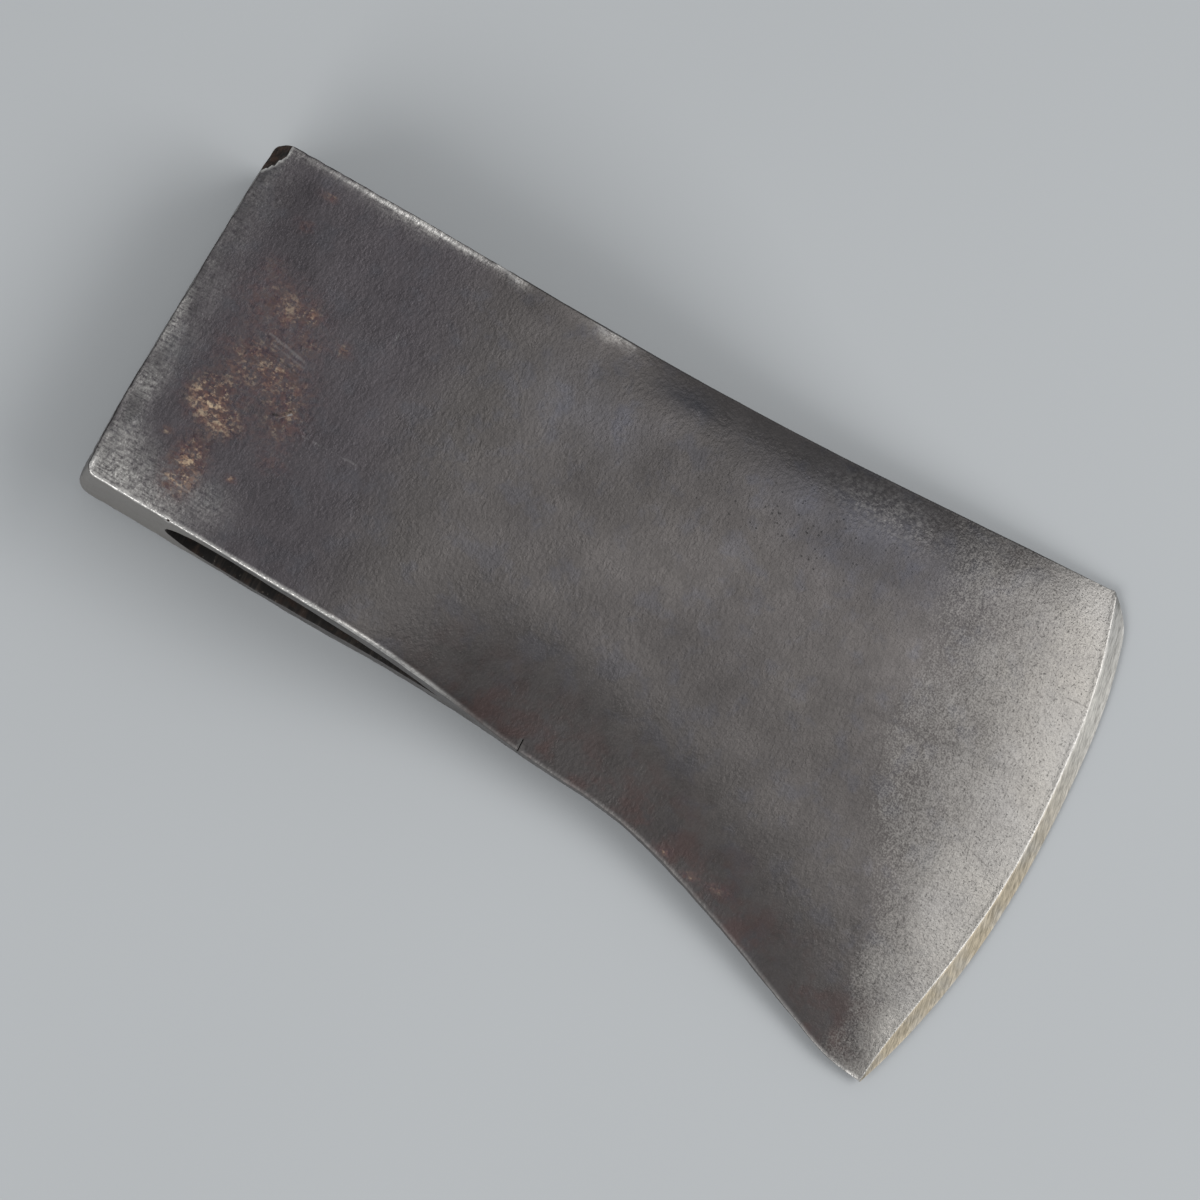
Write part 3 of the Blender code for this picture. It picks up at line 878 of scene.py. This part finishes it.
class Nodes:
    """A material's nodes, added one by one, each as a function of what feeds it."""

    def __init__(self, name):
        self.material = bpy.data.materials.new(name)
        self.material.use_nodes = True
        self.tree = self.material.node_tree
        self.shader = self.tree.nodes["Principled BSDF"]
        place = self.add("ShaderNodeTexCoord").outputs["Object"]
        self.millimetres = self.vector("DIVIDE", place, (MM, MM, MM))

    def add(self, kind, **settings):
        node = self.tree.nodes.new(kind)
        for name, value in settings.items():
            setattr(node, name, value)
        return node

    def feed(self, socket, value):
        if isinstance(value, bpy.types.NodeSocket):
            self.tree.links.new(value, socket)
        else:
            socket.default_value = value

    def mask(self, name):
        return self.add("ShaderNodeAttribute", attribute_name=name).outputs["Fac"]

    def put(self, node, **values):
        for name, value in values.items():
            self.feed(node.inputs[name], value)
        return node.outputs[0]

    def vector(self, operation, a, b, output="Vector"):
        node = self.add("ShaderNodeVectorMath", operation=operation)
        self.feed(node.inputs[0], a)
        self.feed(node.inputs[1], b)
        return node.outputs[output]

    def noise(self, size, detail=3, roughness=0.55, stretch=(1, 1, 1), turn=0.0, shift=0.0):
        """Noise from 0 to 1 with grains of about this many millimetres, drawn out and turned."""
        turned = self.put(self.add("ShaderNodeMapping"), Vector=self.millimetres, Rotation=(0, 0, turn),
                          Location=(shift, shift, shift))
        node = self.add("ShaderNodeTexNoise")
        return self.put(node, Vector=self.vector("DIVIDE", turned, stretch), Scale=1 / size, Detail=detail,
                        Roughness=roughness)

    def pits(self, size, low, high):
        """1 in small round spots, one to a cell of this size."""
        node = self.add("ShaderNodeTexVoronoi")
        self.put(node, Vector=self.millimetres, Scale=1 / size)
        return self.span(node.outputs["Distance"], high, low)

    def math(self, operation, a, b, clamp=False):
        node = self.add("ShaderNodeMath", operation=operation, use_clamp=clamp)
        self.feed(node.inputs[0], a)
        self.feed(node.inputs[1], b)
        return node.outputs[0]

    def times(self, a, b, clamp=False):
        return self.math("MULTIPLY", a, b, clamp)

    def total(self, first, *others):
        for other in others:
            first = self.math("ADD", first, other)
        return first

    def span(self, value, low, high, to_low=0.0, to_high=1.0):
        """The value spread smoothly from low..high to to_low..to_high."""
        node = self.add("ShaderNodeMapRange", interpolation_type="SMOOTHSTEP")
        for name, number in zip(("Value", "From Min", "From Max", "To Min", "To Max"),
                                (value, low, high, to_low, to_high)):
            self.feed(node.inputs[name], number)
        return node.outputs[0]

    def sway(self, value, most):
        """A noise as a change of up to this much either way."""
        return self.span(value, 0.3, 0.7, -most, most)

    def mix(self, factor, a, b, blend="MIX"):
        node = self.add("ShaderNodeMix", data_type="RGBA", blend_type=blend)
        self.feed(node.inputs[0], factor)
        for socket, colour in zip((node.inputs[6], node.inputs[7]), (a, b)):
            self.feed(socket, colour if isinstance(colour, bpy.types.NodeSocket) else (*colour, 1))
        return node.outputs[2]

    def blend(self, factor, a, b):
        """Between two numbers."""
        node = self.add("ShaderNodeMix", data_type="FLOAT")
        self.feed(node.inputs[0], factor)
        self.feed(node.inputs[2], a)
        self.feed(node.inputs[3], b)
        return node.outputs[0]

    def grey(self, value):
        """A number as a grey colour."""
        node = self.add("ShaderNodeCombineColor")
        for socket in node.inputs:
            self.feed(socket, value)
        return node.outputs[0]

    def bump(self, height, distance, strength):
        return self.put(self.add("ShaderNodeBump"), Strength=strength, Distance=distance, Height=height)

    def finish(self, colour, roughness, metallic, normal=None):
        self.feed(self.shader.inputs["Base Color"], colour)
        self.feed(self.shader.inputs["Roughness"], roughness)
        self.feed(self.shader.inputs["Metallic"], metallic)
        if normal is not None:
            self.feed(self.shader.inputs["Normal"], normal)
        return self.material


# Scratches of the upper cheek: from, to and width in millimetres, and strength, below 0 for a dark one
SCRATCHES = (
    ((20.5, 2.4), (28.4, 0.6), 0.42, 0.20),
    ((22, 0.8), (29, -0.6), 0.30, 0.13),
    ((21.5, -0.8), (28.5, -2.2), 0.24, -0.35),
    ((34.5, -12.2), (45.8, -12.4), 0.20, 0.13),
    ((42, 14), (42.2, 10.8), 0.32, 0.16),
    ((52.7, 34.7), (58, 33.2), 0.40, 0.60),
    ((77.2, 34), (83.5, 33), 0.36, 0.35),
    ((6, -30), (25, -31.8), 0.16, 0.20),
    ((29.2, -11), (30.8, -9.5), 0.26, 0.60),
    ((27.6, -11.1), (29, -10.6), 0.30, -0.70),
    ((29, -10.6), (30.5, -9), 0.30, -0.70),
    ((156, -8), (187, -5), 1.30, -0.14),
    ((181, -21.5), (192, -24.5), 0.20, -0.30),
    ((183.5, -50), (192.5, -54.5), 0.20, -0.25),
    ((190, 12.7), (196.5, 13.1), 0.20, -0.35),
    ((179.5, -40.5), (179.9, -41.2), 0.42, -0.65),
    ((178.9, -41.8), (179.2, -42.6), 0.42, -0.65),
    ((183.8, 15), (184.8, 12), 0.20, -0.25),
)


def scratches(n, place, deep):
    """Where the scratches run, from 0 to 1: the dark deep ones, or else the light ones."""
    flat = n.vector("MULTIPLY", n.millimetres, (1, 1, 0))
    wobble = n.span(n.noise(1.6, 2), 0.3, 0.7, -0.15, 0.15)
    found = 0.0
    for start, end, width, strength in SCRATCHES:
        if (strength < 0) != deep:
            continue
        first, last = (place @ Vector((x * MM, y * MM, HALF_THICKNESS)) / MM for x, y in (start, end))
        run = Vector((last.x - first.x, last.y - first.y, 0))
        offset = n.vector("SUBTRACT", flat, (first.x, first.y, 0))
        share = n.vector("DOT_PRODUCT", offset, run / run.length_squared, "Value")
        share = n.math("ADD", share, 0, clamp=True)
        gap = n.vector("DISTANCE", offset, n.vector("MULTIPLY", run, share), "Value")
        line = n.span(n.math("ADD", gap, wobble), width, 0.0, 0.0, abs(strength))
        found = n.math("MAXIMUM", found, line)
    return n.times(found, n.mask("upper"))


# Colours of the forged steel, as a pair where a noise mixes two
DARK_OXIDE = ((0.074, 0.066, 0.072), (0.086, 0.078, 0.082))
WARM_OXIDE = ((0.073, 0.067, 0.067), (0.091, 0.083, 0.078))
COOL_OXIDE = (0.077, 0.075, 0.083)
MARGIN_OXIDE_AND_SHADE = (0.040, 0.033, 0.033)
BROWN_OXIDE = (0.072, 0.040, 0.036)
BLUE_OXIDE = (0.042, 0.042, 0.048)
PALE_OXIDE = (0.20, 0.19, 0.185)
SIDE_OXIDE = ((0.058, 0.052, 0.050), (0.092, 0.084, 0.080))
BARE_SIDE = (0.20, 0.185, 0.17)
WORN_BIT = ((0.250, 0.242, 0.235), (0.280, 0.262, 0.235))
BIT_FLECK = (0.055, 0.050, 0.048)
WORN_EDGE = (0.40, 0.385, 0.365)
BARE_EDGE_AND_HIGHLIGHT = (0.62, 0.60, 0.575)
DARK_ARRIS = (0.022, 0.020, 0.019)
RUST_STAIN = ((0.108, 0.058, 0.056), (0.053, 0.034, 0.043))
RUST_DUST = (0.22, 0.155, 0.138)
RUST_CRUST = ((0.26, 0.155, 0.105), (0.56, 0.43, 0.29))
LIGHT_SCRATCH = (0.34, 0.33, 0.32)
DARK_SCRATCH = (0.030, 0.027, 0.026)

# Colours of the other materials
STEEL_BEVEL = (0.43, 0.415, 0.385)
GOLDEN_BEVEL = (0.47, 0.405, 0.305)
TOE_BEVEL = (0.285, 0.280, 0.268)
FORGE_SCALE = ((0.009, 0.007, 0.006), (0.046, 0.036, 0.029))
SCALE_RUST = (0.050, 0.026, 0.017)
RESIDUE = (0.26, 0.24, 0.21)
OLD_BREAK = ((0.014, 0.011, 0.009), (0.050, 0.029, 0.021))
BREAK_SPECK = (0.13, 0.10, 0.08)
FLOOR_PAINT = ((0.425, 0.438, 0.448), (0.452, 0.466, 0.476))


def oxide(n, mottle, grain, grit):
    """The colour of the dark oxide with its clouds, tints and sides, and how far its darkened margins reach,
    where darker oxide and painted shade lie on the rolled margins.
    """
    cloud = n.noise(24, 4, 0.6)
    drift = n.noise(9, 3, 0.6, stretch=(1, 1.5, 1), turn=0.5, shift=13)
    colour = n.mix(n.mask("blade"), n.mix(cloud, *DARK_OXIDE), n.mix(cloud, *WARM_OXIDE))
    cool = n.times(n.mask("cool"), n.span(drift, 0.35, 0.65, 0.5, 1.0), clamp=True)
    elsewhere = n.span(n.noise(6, 3, 0.6, shift=61), 0.50, 0.68, 0.0, 0.5)
    colour = n.mix(n.math("ADD", cool, elsewhere, clamp=True), colour, COOL_OXIDE)
    tone = n.total(
        n.span(mottle, 0.3, 0.7, 0.93, 1.07),
        n.sway(grain, 0.04),
        n.sway(grit, 0.09),
        n.sway(drift, 0.08),
        # The cloud mask also holds the painted shade along the under margin.
        n.times(n.math("SUBTRACT", n.mask("cloud"), 0.5), 1.5),
    )
    colour = n.mix(1.0, colour, n.grey(tone), "MULTIPLY")

    # Painted shade and darker oxide on the rolled margins.
    margin_oxide_and_shade = n.times(n.mask("margin_oxide_and_shade"), n.span(mottle, 0.3, 0.7, 0.6, 1.0))
    colour = n.mix(n.times(margin_oxide_and_shade, 0.58), colour, MARGIN_OXIDE_AND_SHADE)
    brown = n.times(n.mask("brown"), n.span(n.noise(6, 3, 0.65, shift=9), 0.40, 0.66))
    colour = n.mix(n.times(brown, 0.60), colour, BROWN_OXIDE)
    blue = n.times(n.mask("blue"), n.span(mottle, 0.35, 0.6, 0.4, 0.9))
    colour = n.mix(blue, colour, BLUE_OXIDE)
    pale = n.times(n.mask("pale"), n.span(n.noise(0.9, 3, 0.72), 0.42, 0.66))
    colour = n.mix(n.times(pale, 0.75), colour, PALE_OXIDE)
    side = n.span(n.noise(2.2, 3, 0.66, shift=77), 0.25, 0.75)
    colour = n.mix(n.mask("wall"), colour, n.mix(side, *SIDE_OXIDE))
    bare = n.times(n.mask("bare"), n.span(mottle, 0.3, 0.7, 0.8, 1.0))
    return n.mix(bare, colour, BARE_SIDE), margin_oxide_and_shade


def worn_bit(n, mottle, grain, grit, speck):
    """How far the bit is worn bright, in grains that thin out towards the oxide."""
    worn = n.mask("bit_wear")
    sparkle = n.span(n.noise(0.30, 2, 0.7, shift=63), 0.34, 0.66, -0.26, 0.26)
    bit = n.total(
        worn,
        n.sway(mottle, 0.05),
        n.sway(grit, 0.20),
        n.sway(grain, 0.07),
        n.times(sparkle, n.mask("toe")),
        n.sway(n.noise(10, 3, 0.6, shift=31), 0.07),
        n.sway(speck, 0.07),
    )
    return n.times(bit, n.span(worn, 0.0, 0.10), clamp=True)


def worn_edge(n, grit, speck):
    """How far the borders of the cheek are rubbed bright, in streaks along the head."""
    rubbed = n.noise(0.45, 2, 0.65, stretch=(5, 1, 1), turn=0.04, shift=26)
    patchy = n.total(n.span(speck, 0.28, 0.72, 0.25, 1.0), n.sway(grit, 0.14), n.sway(rubbed, 0.30))
    return n.times(n.mask("edge_wear"), patchy, clamp=True)


def rusted(n, colour):
    """The colour with rust over it, and how far the crust and the dust of it reach."""
    rust = n.mask("rust")
    more = n.times(rust, 0.15)
    fine = n.noise(1.9, 4, 0.75, stretch=(1.3, 1, 1), shift=52)
    stained = n.times(n.span(rust, 0.0, 0.80), n.span(fine, 0.40, 0.60, 0.15, 1.0))
    scab = n.span(n.noise(0.9, 3, 0.65, shift=47), 0.40, 0.60)
    colour = n.mix(n.times(stained, 0.85), colour, n.mix(scab, *RUST_STAIN))
    dust = n.total(n.noise(1.2, 4, 0.70, stretch=(1.25, 1, 1), shift=70), more)
    dust = n.times(n.span(dust, 0.50, 0.78), n.span(rust, 0.06, 0.60))
    colour = n.mix(n.times(dust, 0.42), colour, RUST_DUST)
    groups = n.span(n.noise(3.2, 2, 0.5, shift=21), 0.3, 0.7, -0.10, 0.08)
    crust = n.total(n.noise(0.72, 4, 0.68, stretch=(1.2, 1, 1), shift=33), more, groups)
    crust = n.times(n.span(crust, 0.56, 0.77), n.span(rust, 0.22, 1.05))
    tan = n.span(n.noise(1.3, 3, 0.6, shift=88), 0.42, 0.60)
    colour = n.mix(n.times(crust, 0.85), colour, n.mix(tan, *RUST_CRUST))
    return colour, crust, dust


def forged_steel(place):
    """Dark oxide over forged steel, worn bright at the edges and towards the bit, with rust by the poll,
    painted highlights on the bevel's shoulder and the poll's lower corner, and painted shade on the rolled
    margins.
    """
    n = Nodes("forged_steel")
    mottle = n.noise(4.5, 4, 0.62)
    grain = n.noise(0.42, 2, 0.6, stretch=(1, 5, 2), turn=0.10)
    grit = n.noise(0.36, 2, 0.6)
    speck = n.noise(0.85, 4, 0.68, shift=40)

    colour, margin_oxide_and_shade = oxide(n, mottle, grain, grit)
    bit = worn_bit(n, mottle, grain, grit, speck)
    colour = n.mix(bit, colour, n.mix(n.noise(14, 2, 0.5), *WORN_BIT))
    fleck = n.span(n.noise(0.40, 1, 0.5, shift=15), 0.66, 0.74)
    fleck = n.times(fleck, n.span(n.mask("bit_wear"), 0.1, 0.6))
    colour = n.mix(n.times(fleck, 0.35), colour, BIT_FLECK)
    colour = n.mix(worn_edge(n, grit, speck), colour, WORN_EDGE)
    # Bare edge metal, with the painted highlights on the bevel's shoulder and the poll's lower corner.
    shine_and_highlight = n.times(n.mask("shine_and_highlight"), n.span(speck, 0.30, 0.58, 0.60, 1.1), clamp=True)
    colour = n.mix(shine_and_highlight, colour, BARE_EDGE_AND_HIGHLIGHT)
    dark_arris = n.times(n.mask("dark_arris"), n.span(speck, 0.30, 0.62, 1.0, 0.3))
    colour = n.mix(dark_arris, colour, DARK_ARRIS)
    colour, crust, dust = rusted(n, colour)
    colour = n.mix(scratches(n, place, deep=False), colour, LIGHT_SCRATCH)
    colour = n.mix(scratches(n, place, deep=True), colour, DARK_SCRATCH)

    roughness = n.blend(bit, n.span(mottle, 0.3, 0.7, 0.42, 0.52), n.span(grit, 0.3, 0.7, 0.34, 0.46))
    roughness = n.blend(shine_and_highlight, roughness, 0.30)
    roughness = n.blend(n.math("MAXIMUM", crust, dust), roughness, 0.85)
    dull = n.math("MAXIMUM", crust, n.times(margin_oxide_and_shade, 0.5))
    metallic = n.blend(n.math("MAXIMUM", dull, n.mask("wall")), 0.92, 0.30)

    peel = n.noise(0.80, 3, 0.55, stretch=(1, 1.4, 1), turn=0.25)
    dots = n.times(n.pits(1.1, 0.05, 0.22), n.mask("pitted"))
    dots = n.times(dots, n.span(n.noise(3, 2, 0.5, shift=90), 0.42, 0.54))
    height = n.total(
        peel,
        n.times(grit, 0.35),
        n.times(grain, 0.22),
        n.times(n.mask("edge_wear"), n.times(speck, 0.9)),
        n.times(dots, -0.9),
        n.times(fleck, -0.5),
    )
    return n.finish(colour, roughness, metallic, n.bump(height, 0.00019, 0.6))


def ground_bevel():
    """The bevel that is ground to the cutting edge, with long marks of the stone."""
    n = Nodes("ground_bevel")
    marks = n.noise(0.20, 3, 0.7, stretch=(1, 12, 4), turn=-0.16)
    wide = n.noise(0.5, 2, 0.5, stretch=(1, 9, 4), turn=-0.20, shift=5)
    golden = n.times(n.mask("gold"), n.span(n.noise(9, 3, 0.6), 0.30, 0.55, 0.45, 1.0))
    colour = n.mix(n.mask("toe"), n.mix(golden, STEEL_BEVEL, GOLDEN_BEVEL), TOE_BEVEL)
    tone = n.total(n.span(marks, 0.3, 0.7, 0.60, 1.20), n.sway(wide, 0.10))
    colour = n.mix(1.0, colour, n.grey(tone), "MULTIPLY")
    roughness = n.span(marks, 0.3, 0.7, 0.38, 0.50)
    return n.finish(colour, roughness, 0.85, n.bump(marks, 0.00005, 0.6))


def eye_scale():
    """The black-brown forge scale inside the eye, streaked along the way that the handle was driven."""
    n = Nodes("eye_scale")
    streak = n.noise(1.1, 4, 0.7, stretch=(1, 12, 1))
    colour = n.mix(n.span(streak, 0.45, 0.75), *FORGE_SCALE)
    colour = n.mix(n.times(n.span(n.noise(3.2, 4, 0.6), 0.52, 0.70), 0.5), colour, SCALE_RUST)
    colour = n.mix(n.times(n.span(n.noise(0.8, 3, 0.7), 0.64, 0.74), 0.5), colour, RESIDUE)
    return n.finish(colour, n.span(streak, 0.3, 0.7, 0.75, 0.5), 0.35, n.bump(streak, 0.00012, 0.7))


def broken_steel():
    """The rounded dark floor of an old break."""
    n = Nodes("broken_steel")
    mottle = n.noise(1.6, 4, 0.65)
    colour = n.mix(n.span(mottle, 0.40, 0.62), *OLD_BREAK)
    colour = n.mix(n.times(n.span(n.noise(0.4, 3, 0.6), 0.58, 0.75), 0.35), colour, BREAK_SPECK)
    return n.finish(colour, 0.55, 0.5, n.bump(mottle, 0.0002, 0.6))


def build_head():
    mesh = plain_head()
    place = lying_matrix(mesh)
    roughened(mesh)
    materials = [forged_steel(place), ground_bevel(), eye_scale(), broken_steel()]
    whole = cut_from(mesh, [eye_cutter(), broken_away()], materials)
    whole.shade_smooth()
    whole.set_sharp_from_angle(angle=SHARP_ANGLE)
    store_masks(whole)
    whole.name = "forged_head"
    whole.transform(place)
    head = object_of(whole)
    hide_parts("axe_head")
    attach(head, "root")
    return head


# The camera looks down on the head from a little towards its under edge
CAMERA_TARGET = Vector((0.0005, 0.0052, 0.015))
CAMERA_DISTANCE = 0.9
CAMERA_LEAN_X = math.radians(1.838)
CAMERA_LEAN_Y = math.radians(8.2203)
CAMERA_ROLL = math.radians(26.6151)
CAMERA_LENS = 140.97
CAMERA_SENSOR_WIDTH = 36
CAMERA_NEAREST = 0.01
FLOOR_HALF_SIDE = 3

# The sky's colour and strength, and the soft lights, which face the head: name, place, size and power
SKY_COLOUR = (0.93, 0.97, 1.0, 1)
SKY_STRENGTH = 0.41
LIGHTS = (
    ("window", (-0.55, -1.00, 1.10), (1.1, 0.9), 11.8),
    ("overhead", (0.75, 0.35, 1.05), (1.0, 0.8), 8.8),
)


def make_camera():
    toward = Vector((-math.tan(CAMERA_LEAN_X), -math.tan(CAMERA_LEAN_Y), 1)).normalized()
    right = Vector((math.cos(CAMERA_ROLL), math.sin(CAMERA_ROLL), 0))
    right = (right - toward * right.dot(toward)).normalized()
    up = toward.cross(right)
    data = bpy.data.cameras.new("camera")
    data.lens = CAMERA_LENS
    data.sensor_width = CAMERA_SENSOR_WIDTH
    data.clip_start = CAMERA_NEAREST
    camera = object_of(data)
    axes = Matrix((right, up, toward)).transposed().to_4x4()
    camera.matrix_world = Matrix.Translation(CAMERA_TARGET + toward * CAMERA_DISTANCE) @ axes
    bpy.context.scene.camera = camera


def make_floor():
    shape = bmesh.new()
    bmesh.ops.create_grid(shape, x_segments=1, y_segments=1, size=FLOOR_HALF_SIDE)
    mesh = mesh_of(shape, "floor")
    n = Nodes("floor_paint")
    mesh.materials.append(n.finish(n.mix(n.noise(120, 1, 0.5), *FLOOR_PAINT), 0.6, 0.0))
    object_of(mesh)


def soft_light(name, place, size, power):
    data = bpy.data.lights.new(name, "AREA")
    data.shape = "RECTANGLE"
    data.size, data.size_y = size
    data.energy = power
    lamp = object_of(data)
    lamp.location = place
    lamp.rotation_euler = (-Vector(place)).to_track_quat("-Z", "Y").to_euler()


def make_light():
    world = bpy.data.worlds.new("studio")
    world.use_nodes = True
    background = world.node_tree.nodes["Background"]
    background.inputs["Color"].default_value = SKY_COLOUR
    background.inputs["Strength"].default_value = SKY_STRENGTH
    bpy.context.scene.world = world
    for light in LIGHTS:
        soft_light(*light)
    bpy.context.scene.view_settings.view_transform = "Standard"


build_head()
make_camera()
make_floor()
make_light()
